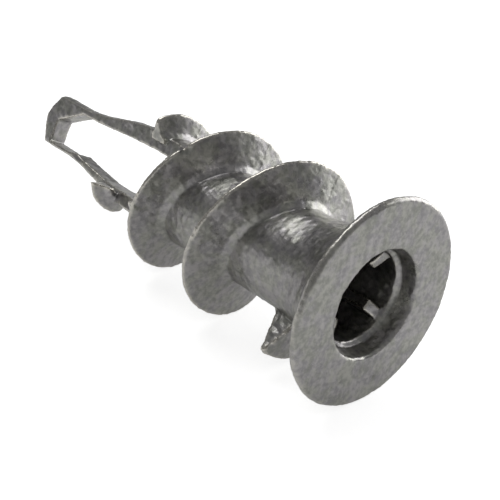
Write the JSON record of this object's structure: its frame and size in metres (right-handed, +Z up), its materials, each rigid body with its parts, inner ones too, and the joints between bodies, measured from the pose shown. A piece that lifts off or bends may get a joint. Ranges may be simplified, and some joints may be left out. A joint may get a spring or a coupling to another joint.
{
  "type": "metal plasterboard anchor",
  "caption": "Die-cast zinc plasterboard anchor with a flanged head, a cross drive socket, a coarse left-hand thread and a forked drill point, lying on its side.",
  "frame": {"origin": "centre of the resting footprint's bounding box, on the surface it lies on", "axes": "+X along the anchor from its flange towards its drill point, +Z up, lying on the flange's rim and a thread crest"},
  "size_m": [0.0354, 0.014, 0.014],
  "materials": {
    "zinc": "as cast, dull, slightly mottled"
  },
  "bodies": {
    "root": {"anchor_body": "zinc"}
  },
  "joints": []
}
